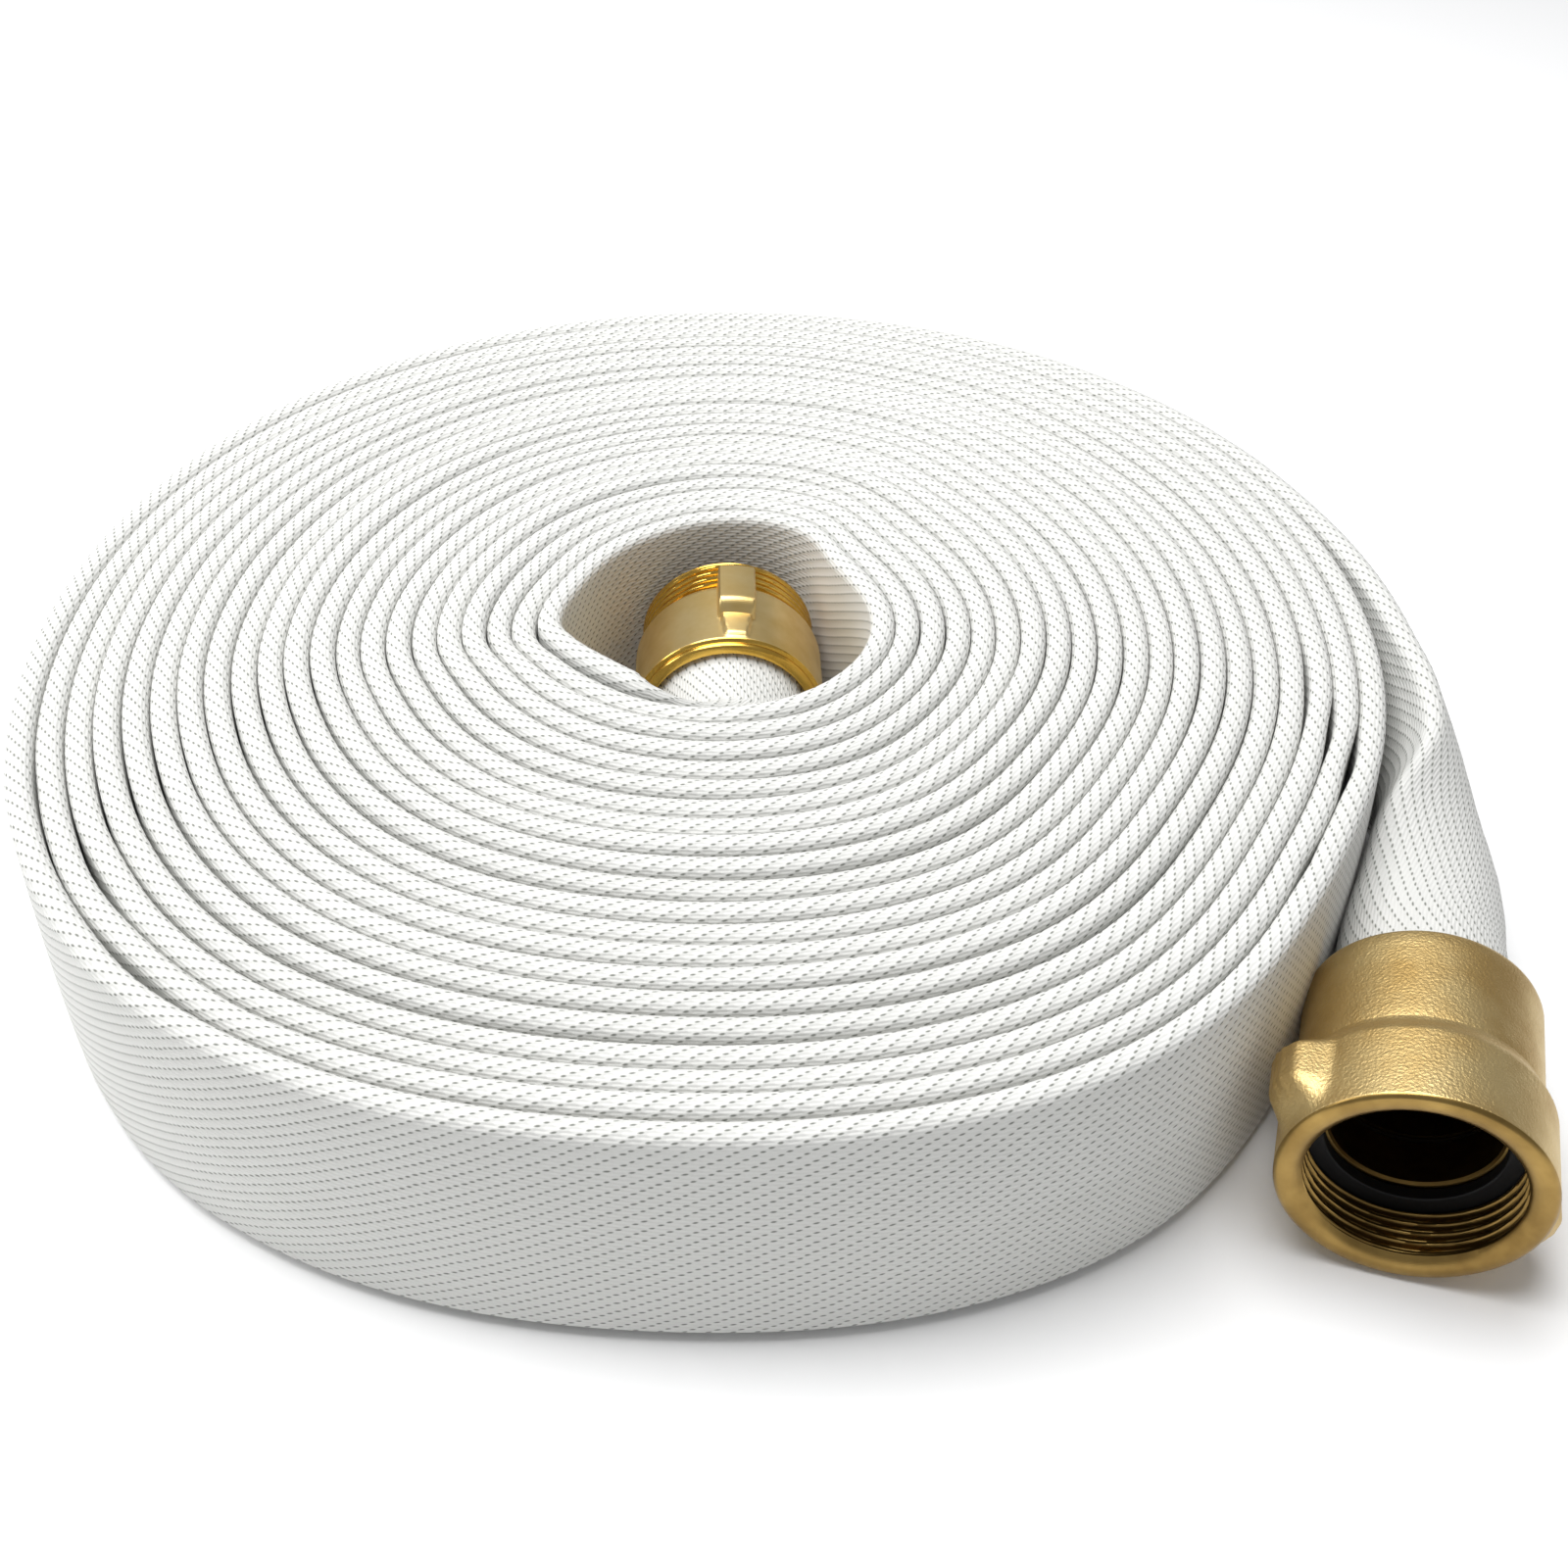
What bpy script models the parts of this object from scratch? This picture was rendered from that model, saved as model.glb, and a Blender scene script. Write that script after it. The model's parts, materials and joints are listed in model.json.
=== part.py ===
"""Rolled fire hose: a 1.5 in (38 mm) single-jacket lay-flat hose, 50 ft (15.24 m) long,
wound on edge into one flat spiral roll, with a brass expansion-ring coupling on each end.

Metres, +Z up. The roll stands on z = 0. The origin is the centre of the object's footprint.
Bearings are in degrees, counter-clockwise from +X, about the roll's own centre.
"""
import bisect
import math

import bmesh
import bpy
from mathutils import Matrix, Vector

# ---------------------------------------------------------------- driving dimensions
ROLL_X, ROLL_Y = -0.0093, -0.0033   # the roll's centre, off the footprint's centre
HOSE_WIDTH = 0.066                  # lay-flat width, which is the roll's height
TURN_PITCH = 0.00695                # from one turn to the next
RIBBON = 0.0066                     # thickness of the flat hose at its folded edges
HOSE_RADIUS = 0.0210                # outside radius of the hose where it is round
GAP = 0.0003                        # clearance between separate pieces

OUTER_LEAVE = 20.0                  # bearing at which the outer end leaves the roll
INNER_LEAVE = 172.0                 # bearing at which the inner end leaves the innermost turn

# The roll isn't round. Radius by bearing of its outside, before the spiral's own step of one
# pitch is taken off, and of the eye in its middle, before that step is added.
OUTLINE = {
    20: 0.1895, 57: 0.1917, 92: 0.1907, 135: 0.1892, 180: 0.1844,
    228: 0.1922, 267: 0.1874, 303: 0.1940, 328: 0.1865, 350: 0.1878,
}
EYE = {
    -175: 0.0399, -155: 0.0339, -127: 0.0305, -79: 0.0325, -36: 0.0384, 0: 0.0417,
    39: 0.0428, 61: 0.0509, 84: 0.0508, 114: 0.0454, 150: 0.0396,
}

WATERWAY = 0.0192                   # radius of the clear bore through couplings and rings
RING_OUT = 0.0203                   # expansion ring, outside
LINING_IN, LINING_OUT = 0.0206, 0.0213
JACKET_IN, JACKET_OUT = 0.0216, 0.0226
BOWL_IN = 0.0229
BOWL_DEPTH = 0.0239                 # from the bowl's mouth to its shoulder
GASKET_THICKNESS = 0.0015

THREAD_PITCH = 0.0254 / 9           # nine threads to the inch
SEGMENTS = 32                       # sides of a turned piece
TUBE_SIDES = 24                     # sides of the hose

# Female coupling: mouth centre on its axis, and how far the mouth turns from -Y towards -X.
FEMALE_X, FEMALE_Y, FEMALE_Z = 0.1586, -0.1668, 0.0300
FEMALE_YAW = 16.0
SWIVEL_RADIUS = 0.0300
SWIVEL_LENGTH = 0.0265
FEMALE_LENGTH = 0.0554
FEMALE_BOWL_RADIUS = 0.0274
FEMALE_LUG_BEARINGS = (65.0, 245.0)  # about the coupling's axis, from straight up towards the roll
LUG_CROWN = 0.0360                  # radius over the swivel's lugs
RACE_Z = -0.0226                    # the ball race, from the mouth
RACE_RADIUS = 0.02525
BALL_RADIUS = 0.00238               # 3/16 in balls
BALL_COUNT = 30
NECK_RADIUS = 0.0251                # tailpiece neck that the swivel turns on
NECK_FACE_Z = -0.0186

# Male coupling: centre of the bowl's mouth, and how far its axis turns from +Y towards -X.
MALE_X, MALE_Y, MALE_Z = 0.0059, -0.0033, 0.0330
MALE_YAW = 2.0
MALE_RADIUS = 0.0270
MALE_LENGTH = 0.0430
MALE_LUG_CROWN = 0.0323
MALE_LUG_BEARINGS = (4.0, 184.0)
MALE_THREAD_START = 0.0290

# ---------------------------------------------------------------- scene
for obj in list(bpy.data.objects):
    bpy.data.objects.remove(obj)

parts = bpy.data.collections.new("rolled_fire_hose")
cutters = bpy.data.collections.new("cutters")
bpy.context.scene.collection.children.link(parts)
bpy.context.scene.collection.children.link(cutters)


def material(name, color, roughness, metallic=0.0):
    mat = bpy.data.materials.new(name)
    mat.use_nodes = True
    shader = mat.node_tree.nodes["Principled BSDF"]
    shader.inputs["Base Color"].default_value = (*color, 1.0)
    shader.inputs["Roughness"].default_value = roughness
    shader.inputs["Metallic"].default_value = metallic
    return mat


JACKET = material("woven_jacket", (0.86, 0.86, 0.85), 0.85)
CAST_BRASS = material("cast_brass", (0.56, 0.38, 0.13), 0.42, 1.0)
TURNED_BRASS = material("turned_brass", (0.66, 0.47, 0.17), 0.25, 1.0)
RUBBER = material("black_rubber", (0.02, 0.02, 0.02), 0.7)
STEEL = material("ball_steel", (0.6, 0.6, 0.62), 0.15, 1.0)


def add_object(name, mesh, mat, collection=parts, parent=None):
    obj = bpy.data.objects.new(name, mesh)
    collection.objects.link(obj)
    if mat:
        mesh.materials.append(mat)
    obj.parent = parent
    return obj


def mesh_from(bm, name, smooth=True):
    mesh = bpy.data.meshes.new(name)
    bm.to_mesh(mesh)
    bm.free()
    if smooth:
        mesh.shade_smooth()
        mesh.set_sharp_from_angle(angle=math.radians(35))
    return mesh


# ---------------------------------------------------------------- the roll's outline
def radius_at(table, bearing):
    """Smooth closed curve through a table of radius by bearing (cubic between neighbours)."""
    keys = sorted(table)
    angles = [keys[-1] - 360.0] + keys + [keys[0] + 360.0, keys[1] + 360.0]
    radii = [table[keys[-1]]] + [table[k] for k in keys] + [table[keys[0]], table[keys[1]]]
    bearing = (bearing - keys[0]) % 360.0 + keys[0]
    i = bisect.bisect_right(angles, bearing) - 1

    def slope(k):
        if k == 0:
            k = len(keys)
        return (radii[k + 1] - radii[k - 1]) / (angles[k + 1] - angles[k - 1])

    span = angles[i + 1] - angles[i]
    u = (bearing - angles[i]) / span
    end_slope = slope(i + 1) if i + 2 < len(angles) else slope(1)
    return ((1 + 2 * u) * (1 - u) ** 2 * radii[i] + u * (1 - u) ** 2 * span * slope(i)
            + u * u * (3 - 2 * u) * radii[i + 1] + u * u * (u - 1) * span * end_slope)


def roll_point(radius, bearing, z=0.0):
    angle = math.radians(bearing)
    return Vector((ROLL_X + radius * math.cos(angle), ROLL_Y + radius * math.sin(angle), z))


def hose_roll():
    """All the turns as one block: the outside and the eye each step by one turn at its end."""
    curve = bpy.data.curves.new("hose_roll", "CURVE")
    curve.dimensions = "2D"
    curve.fill_mode = "BOTH"
    curve.extrude = HOSE_WIDTH / 2
    outside = []
    steps = 90
    for i in range(steps + 1):
        turned_by = 360.0 * i / steps
        bearing = OUTER_LEAVE + turned_by
        radius = radius_at(OUTLINE, bearing) - TURN_PITCH * turned_by / 360.0
        outside.append(roll_point(radius, bearing))
    inside = []
    steps = 54
    for i in range(steps + 1):
        turned_by = 360.0 * i / steps
        bearing = INNER_LEAVE - turned_by
        radius = radius_at(EYE, bearing) + TURN_PITCH * turned_by / 360.0
        inside.append(roll_point(radius, bearing))
    for points in (outside, inside):
        spline = curve.splines.new("POLY")
        spline.points.add(len(points) - 1)
        spline.use_cyclic_u = True
        for slot, point in zip(spline.points, points):
            slot.co = (point.x, point.y, 0.0, 1.0)
    curve_object = bpy.data.objects.new("hose_roll_curve", curve)
    parts.objects.link(curve_object)
    graph = bpy.context.evaluated_depsgraph_get()
    mesh = bpy.data.meshes.new_from_object(curve_object.evaluated_get(graph))
    bpy.data.objects.remove(curve_object)
    bm = bmesh.new()
    bm.from_mesh(mesh)
    bmesh.ops.remove_doubles(bm, verts=bm.verts, dist=1e-6)
    bm.to_mesh(mesh)
    bm.free()
    mesh.name = "hose_roll"
    mesh.materials.clear()
    roll = add_object("hose_roll", mesh, JACKET)
    roll.location.z = HOSE_WIDTH / 2
    return roll


# ---------------------------------------------------------------- hose ends
def section(centre, heading, thickness, height, sides=TUBE_SIDES):
    """Cross-section of the hose, on edge: straight sides and round folds, or a circle."""
    right = Vector((math.sin(math.radians(heading)), -math.cos(math.radians(heading)), 0.0))
    ring = []
    for i in range(sides):
        angle = 2 * math.pi * (i + 0.5) / sides
        lift = math.copysign(max(height - thickness, 0.0) / 2, math.sin(angle))
        across = thickness / 2 * math.cos(angle)
        up = thickness / 2 * math.sin(angle) + lift
        ring.append(centre + right * across + Vector((0.0, 0.0, up)))
    return ring


def loft(name, rings, mat):
    """Skin over a run of cross-sections, capped at both ends. A run that turns back inside
    itself at an open end makes a hollow there."""
    bm = bmesh.new()
    rows = [[bm.verts.new(point) for point in ring] for ring in rings]
    count = len(rows[0])
    for near, far in zip(rows, rows[1:]):
        for i in range(count):
            j = (i + 1) % count
            bm.faces.new((near[i], near[j], far[j], far[i]))
    bm.faces.new(rows[0])
    bm.faces.new(rows[-1])
    bmesh.ops.recalc_face_normals(bm, faces=bm.faces)
    return add_object(name, mesh_from(bm, name), mat)


def end_in_bowl(mouth, heading, deep):
    """Sections of a hose end inside its bowl, from the mouth in, then back out as the hollow."""
    into = Vector((math.cos(math.radians(heading)), math.sin(math.radians(heading)), 0.0))
    seat = deep - GASKET_THICKNESS - 2 * GAP
    places = ((-0.006, HOSE_RADIUS), (-0.001, HOSE_RADIUS), (0.003, JACKET_OUT), (seat, JACKET_OUT),
              (seat, JACKET_IN), (0.0005, JACKET_IN), (-0.003, HOSE_RADIUS - 0.0014))
    return [section(mouth + into * s, heading, 2 * r, 2 * r) for s, r in places]


# Centreline of the outer end as it leaves the roll, about the roll's centre:
# x, y, z, thickness, height.
OUTER_ROUTE = (
    (0.1830, 0.0373, 0.0330, 0.0066, 0.0654),
    (0.1874, 0.0160, 0.0330, 0.0068, 0.0652),
    (0.1897, -0.0060, 0.0330, 0.0076, 0.0645),
    (0.1901, -0.0250, 0.0328, 0.0100, 0.0625),
    (0.1886, -0.0450, 0.0324, 0.0155, 0.0580),
    (0.1850, -0.0650, 0.0316, 0.0240, 0.0520),
    (0.1809, -0.0820, 0.0308, 0.0335, 0.0465),
    (0.1776, -0.0950, 0.0302, 0.0400, 0.0430),
)
# Centreline of the inner end beside the eye's front left wall, about the roll's centre: x, y.
INNER_ROUTE = ((-0.0425, -0.0020), (-0.0380, -0.0090), (-0.0262, -0.0201), (-0.0195, -0.0252))
FAN_PIVOT = (-0.0165, -0.0211)      # the hose then folds round this upright line as it opens
# Heading of the hose and its thickness there.
FAN = ((-10.0, 0.0072), (15.0, 0.0098), (38.0, 0.0156), (58.0, 0.0245), (76.0, 0.0340), (92.0, 0.0420))


def headings(points, first, last):
    """Heading at each point of a route, in degrees, from its neighbours."""
    out = []
    for i, point in enumerate(points):
        before = points[i - 1] if i else first
        after = points[i + 1] if i + 1 < len(points) else last
        out.append(math.degrees(math.atan2(after.y - before.y, after.x - before.x)))
    return out


def outer_tail():
    mouth = female_point(0.0, 0.0, -FEMALE_LENGTH)
    heading_in = 270.0 - FEMALE_YAW
    start_radius = radius_at(OUTLINE, OUTER_LEAVE) - RIBBON / 2 - 0.0002
    start = roll_point(start_radius, OUTER_LEAVE, HOSE_WIDTH / 2)
    leave_heading = OUTER_LEAVE - 90.0
    start += Vector((math.cos(math.radians(leave_heading)), math.sin(math.radians(leave_heading)), 0.0)) * GAP
    route = [Vector((ROLL_X + x, ROLL_Y + y, z)) for x, y, z, _, _ in OUTER_ROUTE]
    rings = [section(start, leave_heading, RIBBON, HOSE_WIDTH - 2 * GAP)]
    turns = headings(route, start, mouth)
    for point, heading, (_, _, _, thickness, height) in zip(route, turns, OUTER_ROUTE):
        rings.append(section(point, heading, thickness, height))
    rings += end_in_bowl(mouth, heading_in, BOWL_DEPTH)
    for index in (-1, -2, -3):
        x, y, z, thickness, height = OUTER_ROUTE[index]
        rings.append(section(route[index], turns[index], thickness - 0.0044, height - 0.0044))
    return loft("outer_tail", rings, JACKET)


def inner_tail():
    mouth = Vector((MALE_X + ROLL_X, MALE_Y + ROLL_Y, MALE_Z))
    heading_in = 90.0 + MALE_YAW
    start_radius = radius_at(EYE, INNER_LEAVE) + TURN_PITCH / 2
    start = roll_point(start_radius, INNER_LEAVE, HOSE_WIDTH / 2)
    start.y -= GAP
    route = [Vector((ROLL_X + x, ROLL_Y + y, HOSE_WIDTH / 2)) for x, y in INNER_ROUTE]
    pivot = Vector((FAN_PIVOT[0] + ROLL_X, FAN_PIVOT[1] + ROLL_Y, HOSE_WIDTH / 2))
    clear = 0.0020
    rings = [section(start, INNER_LEAVE + 90.0, RIBBON - GAP, HOSE_WIDTH - 2 * GAP)]
    for point, heading in zip(route, headings(route, start, pivot)):
        rings.append(section(point, heading, RIBBON, HOSE_WIDTH - 2 * GAP))

    def fan_section(heading, thickness, wall):
        out = Vector((math.sin(math.radians(heading)), -math.cos(math.radians(heading)), 0.0))
        centre = pivot + out * (thickness / 2 + clear)
        spread = (thickness - RIBBON) / (2 * HOSE_RADIUS - RIBBON)
        height = HOSE_WIDTH - 2 * GAP + spread * (2 * HOSE_RADIUS - HOSE_WIDTH + 2 * GAP)
        return section(centre, heading, thickness - 2 * wall, height - 2 * wall)

    rings += [fan_section(heading, thickness, 0.0) for heading, thickness in FAN]
    rings += end_in_bowl(mouth, heading_in, BOWL_DEPTH)
    rings += [fan_section(heading, thickness, 0.0022) for heading, thickness in FAN[:-4:-1]]
    return loft("inner_tail", rings, JACKET)


# ---------------------------------------------------------------- couplings
def axis_empty(name, place, outward):
    """An empty whose local +Z is the coupling's axis, out of its mating end, and +X is up."""
    up = Vector((0.0, 0.0, 1.0))
    turn = Matrix((up, outward.cross(up), outward)).transposed().to_4x4()
    empty = bpy.data.objects.new(name, None)
    parts.objects.link(empty)
    empty.matrix_world = Matrix.Translation(place) @ turn
    return empty


female_out = Vector((-math.sin(math.radians(FEMALE_YAW)), -math.cos(math.radians(FEMALE_YAW)), 0.0))
female_axis = axis_empty(
    "female_axis", Vector((FEMALE_X + ROLL_X, FEMALE_Y + ROLL_Y, FEMALE_Z)), female_out)
male_out = Vector((-math.sin(math.radians(MALE_YAW)), math.cos(math.radians(MALE_YAW)), 0.0))
male_axis = axis_empty("male_axis", Vector((MALE_X + ROLL_X, MALE_Y + ROLL_Y, MALE_Z)), male_out)


def female_point(x, y, z):
    return female_axis.matrix_world @ Vector((x, y, z))


def turned(name, profile, mat, axis, collection=parts):
    """A closed profile of (radius, z), down its outer side and up its inner side, turned."""
    bm = bmesh.new()
    verts = [bm.verts.new((radius, 0.0, z)) for radius, z in profile]
    for i, vert in enumerate(verts):
        bm.edges.new((vert, verts[(i + 1) % len(verts)]))
    obj = add_object(name, mesh_from(bm, name, smooth=False), mat, collection, axis)
    screw = obj.modifiers.new("turn", "SCREW")
    screw.angle = 2 * math.pi
    screw.steps = SEGMENTS
    screw.render_steps = SEGMENTS
    screw.use_merge_vertices = True
    screw.merge_threshold = 1e-5
    screw.use_smooth_shade = False
    return obj


def thread_rows(top, bottom, crest, root):
    """Zigzag of a thread's rings from one height down to another, ending on a root."""
    rows = []
    z = top
    while z - THREAD_PITCH >= bottom - 1e-6:
        rows += [(root, z), (crest, z - 0.35 * THREAD_PITCH), (crest, z - 0.55 * THREAD_PITCH)]
        z -= THREAD_PITCH
    rows.append((root, z))
    return rows


def groove(centre_z, radius, depth, half_width, inwards):
    """A ball groove in a turned wall, as (radius, z) from its upper edge down."""
    sign = -1.0 if inwards else 1.0
    return [(radius, centre_z + half_width), (radius + sign * depth, centre_z + 0.47 * half_width),
            (radius + sign * depth, centre_z - 0.47 * half_width), (radius, centre_z - half_width)]


def rocker_lug(name, axis, bearing, crown, base, z_mid, length, width):
    """One lug: a block whose crown is shorter and narrower than its foot, with round edges."""
    bm = bmesh.new()
    bmesh.ops.create_cube(bm, size=1.0)
    foot = base - 0.003
    for vert in bm.verts:
        outer = vert.co.x > 0
        vert.co.y *= width * (0.72 if outer else 1.0)
        vert.co.z = z_mid + vert.co.z * length * (0.62 if outer else 1.0)
        vert.co.x = crown if outer else foot
    bmesh.ops.bevel(bm, geom=bm.edges, offset=0.0016, segments=2, affect="EDGES", profile=0.5)
    lug = add_object(name, mesh_from(bm, name), None, cutters, axis)
    lug.rotation_euler.z = math.radians(bearing)
    lug.hide_render = True
    lug.display_type = "WIRE"
    return lug


def combine(obj, other, operation):
    boolean = obj.modifiers.new(other.name, "BOOLEAN")
    boolean.operation = operation
    boolean.object = other
    boolean.solver = "EXACT"


def swivel():
    rear = -SWIVEL_LENGTH
    outer = [(0.0292, 0.0), (SWIVEL_RADIUS, -0.0008), (SWIVEL_RADIUS, -0.0195), (0.0297, -0.0215),
             (0.0290, -0.0240), (0.0279, rear)]
    inner = [(NECK_RADIUS + GAP, rear)]
    race = groove(RACE_Z, NECK_RADIUS + GAP, BALL_RADIUS, 0.0030, inwards=False)
    inner += reversed(race)
    inner += [(NECK_RADIUS + GAP, -0.0145)]
    inner += reversed(thread_rows(-0.0022, -0.0137, 0.02375, 0.0254))
    inner += [(0.0261, 0.0)]
    obj = turned("swivel", outer + inner, CAST_BRASS, female_axis)
    for number, bearing in enumerate(FEMALE_LUG_BEARINGS, 1):
        lug = rocker_lug(f"swivel_lug_{number}", female_axis, bearing, LUG_CROWN, SWIVEL_RADIUS,
                         -0.0115, 0.0190, 0.0125)
        combine(obj, lug, "UNION")
    hole = plug_shape("plug_hole", 0.0026 + GAP, 0.0245, 0.0330, None, cutters)
    hole.hide_render = True
    hole.display_type = "WIRE"
    combine(obj, hole, "DIFFERENCE")
    return obj


PLUG_BEARING = 290.0


def plug_shape(name, radius, inner, outer, mat, collection):
    """A short round plug that stands across the swivel's wall over the ball race."""
    bm = bmesh.new()
    bmesh.ops.create_cone(bm, cap_ends=True, segments=16, radius1=radius, radius2=radius,
                          depth=outer - inner)
    lay = Matrix.Rotation(math.radians(90), 4, "Y")
    bmesh.ops.transform(bm, matrix=lay, verts=bm.verts)
    bmesh.ops.translate(bm, vec=((inner + outer) / 2, 0.0, RACE_Z), verts=bm.verts)
    obj = add_object(name, mesh_from(bm, name), mat, collection, female_axis)
    obj.rotation_euler.z = math.radians(PLUG_BEARING)
    return obj


def race_plug():
    obj = plug_shape("race_plug", 0.0026, 0.0281, 0.0291, TURNED_BRASS, parts)
    slot_bm = bmesh.new()
    bmesh.ops.create_cube(slot_bm, size=1.0)
    for vert in slot_bm.verts:
        vert.co = Vector((0.0291 + vert.co.x * 0.0009, vert.co.y * 0.0038, RACE_Z + vert.co.z * 0.0007))
    slot = add_object("plug_slot", mesh_from(slot_bm, "plug_slot", smooth=False), None, cutters, female_axis)
    slot.rotation_euler.z = math.radians(PLUG_BEARING)
    slot.hide_render = True
    slot.display_type = "WIRE"
    combine(obj, slot, "DIFFERENCE")
    return obj


def race_balls():
    bm = bmesh.new()
    bmesh.ops.create_icosphere(bm, subdivisions=2, radius=BALL_RADIUS - 0.00012)
    mesh = mesh_from(bm, "race_ball")
    mesh.materials.append(STEEL)
    for number in range(BALL_COUNT):
        angle = 2 * math.pi * number / BALL_COUNT
        ball = bpy.data.objects.new(f"race_ball_{number + 1:02d}", mesh)
        parts.objects.link(ball)
        ball.parent = female_axis
        ball.location = (RACE_RADIUS * math.cos(angle), RACE_RADIUS * math.sin(angle), RACE_Z)


def female_tailpiece():
    rear = -FEMALE_LENGTH
    shoulder = rear + BOWL_DEPTH
    front = -SWIVEL_LENGTH - GAP
    race = groove(RACE_Z, NECK_RADIUS, BALL_RADIUS, 0.0030, inwards=True)
    outer = [(WATERWAY + 0.0006, NECK_FACE_Z), (NECK_RADIUS, NECK_FACE_Z), *race, (NECK_RADIUS, front),
             (FEMALE_BOWL_RADIUS, front), (FEMALE_BOWL_RADIUS, rear + 0.0014),
             (FEMALE_BOWL_RADIUS - 0.0010, rear)]
    inner = [(BOWL_IN + 0.0006, rear), (BOWL_IN, rear + 0.0006), (BOWL_IN, shoulder),
             (WATERWAY, shoulder), (WATERWAY, NECK_FACE_Z - 0.0006)]
    return turned("female_tailpiece", outer + inner, CAST_BRASS, female_axis)


def sleeve(name, inside, outside, high, low, mat, axis):
    return turned(name, [(outside, high), (outside, low), (inside, low), (inside, high)], mat, axis)


def clamped_end(prefix, lining_name, axis, mouth_z, into):
    """What the bowl holds: tail gasket, rubber lining and expansion ring.
    into is +1 where the bowl's depth runs along the axis's +Z."""
    def span(near, far):
        ends = sorted((mouth_z + into * near, mouth_z + into * far))
        return ends[1], ends[0]

    seat = BOWL_DEPTH - GASKET_THICKNESS - 2 * GAP
    sleeve(f"{prefix}_tail_gasket", RING_OUT - 0.0003, BOWL_IN - GAP,
           *span(BOWL_DEPTH - GAP, BOWL_DEPTH - GAP - GASKET_THICKNESS), RUBBER, axis)
    sleeve(lining_name, LINING_IN, LINING_OUT, *span(0.0010, seat), RUBBER, axis)
    sleeve(f"{prefix}_expansion_ring", WATERWAY, RING_OUT, *span(0.0015, seat), TURNED_BRASS, axis)


def thread_gasket():
    return sleeve("thread_gasket", 0.0204, NECK_RADIUS, -0.0149, NECK_FACE_Z + GAP, RUBBER, female_axis)


def male_coupling():
    end = MALE_LENGTH
    thread = thread_rows(end - 0.0012, MALE_THREAD_START, 0.02527, 0.0235)
    outer = [(0.0231, end), *thread, (0.0262, MALE_THREAD_START - 0.0008),
             (MALE_RADIUS, MALE_THREAD_START - 0.0024), (MALE_RADIUS, 0.0018), (0.0253, 0.0)]
    inner = [(BOWL_IN + 0.0004, 0.0), (BOWL_IN, 0.0006), (BOWL_IN, BOWL_DEPTH), (WATERWAY, BOWL_DEPTH),
             (WATERWAY, end)]
    obj = turned("male_coupling", outer + inner, CAST_BRASS, male_axis)
    for number, bearing in enumerate(MALE_LUG_BEARINGS, 1):
        lug = rocker_lug(f"male_lug_{number}", male_axis, bearing, MALE_LUG_CROWN, MALE_RADIUS,
                         0.0165, 0.0240, 0.0110)
        combine(obj, lug, "UNION")
    return obj


bpy.context.view_layer.update()
hose_roll()
outer_tail()
inner_tail()
female_tailpiece()
swivel()
race_plug()
race_balls()
thread_gasket()
clamped_end("female", "outer_lining", female_axis, -FEMALE_LENGTH, 1)
male_coupling()
clamped_end("male", "inner_lining", male_axis, 0.0, 1)
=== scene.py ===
"""Rolled fire hose: the looks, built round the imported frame.

Metres, +Z up, in the frame's own axes. The file follows the object as it is put together: the
hose itself, then the swivelling female coupling outside the roll, then the male one in its eye.
"""
import bisect
import json
import math

import bpy
import numpy as np
from mathutils import Matrix, Vector


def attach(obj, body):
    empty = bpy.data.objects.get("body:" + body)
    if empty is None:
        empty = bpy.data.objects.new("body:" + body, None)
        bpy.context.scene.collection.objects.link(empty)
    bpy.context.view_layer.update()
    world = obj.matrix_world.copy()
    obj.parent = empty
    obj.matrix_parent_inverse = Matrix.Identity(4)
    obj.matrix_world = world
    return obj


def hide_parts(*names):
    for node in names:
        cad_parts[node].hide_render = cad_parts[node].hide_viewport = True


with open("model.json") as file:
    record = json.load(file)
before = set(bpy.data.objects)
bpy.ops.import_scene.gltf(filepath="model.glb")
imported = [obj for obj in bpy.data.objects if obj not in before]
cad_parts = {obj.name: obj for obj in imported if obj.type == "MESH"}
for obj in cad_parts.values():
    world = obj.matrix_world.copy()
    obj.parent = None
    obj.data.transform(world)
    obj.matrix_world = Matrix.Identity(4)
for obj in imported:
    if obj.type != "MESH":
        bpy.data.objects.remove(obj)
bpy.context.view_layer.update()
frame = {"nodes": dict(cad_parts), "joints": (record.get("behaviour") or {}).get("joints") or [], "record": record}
bpy.ops.object.select_all(action="DESELECT")

# ---------------------------------------------------------------- room
# A pale floor under a large soft light overhead, with a smaller one lower on the left. The dim room
# round them leaves the hose's walls greyer than its upper edges and gives the brass contrast.


def linear(code, alpha=1.0):
    """A hex sRGB colour as linear light."""
    values = [int(code[i:i + 2], 16) / 255 for i in (1, 3, 5)]
    return (*(v / 12.92 if v <= 0.04045 else ((v + 0.055) / 1.055) ** 2.4 for v in values), alpha)


def node(tree, kind, inputs=(), **settings):
    """Adds one shader node with its settings, and fills its inputs with numbers or links."""
    made = tree.nodes.new("ShaderNode" + kind)
    for name, value in settings.items():
        setattr(made, name, value)
    for key, value in dict(inputs).items():
        if isinstance(value, bpy.types.NodeSocket):
            tree.links.new(value, made.inputs[key])
        else:
            made.inputs[key].default_value = value
    return made


def finish_material(name, roughness, metallic=0.0, **sockets):
    """A new material, its node tree and its Principled shader with its plain sockets set."""
    made = bpy.data.materials.new(name)
    made.use_nodes = True
    shader = made.node_tree.nodes["Principled BSDF"]
    shader.inputs["Roughness"].default_value = roughness
    shader.inputs["Metallic"].default_value = metallic
    for key, value in sockets.items():
        shader.inputs[key.replace("_", " ")].default_value = value
    return made, made.node_tree, shader


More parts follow.
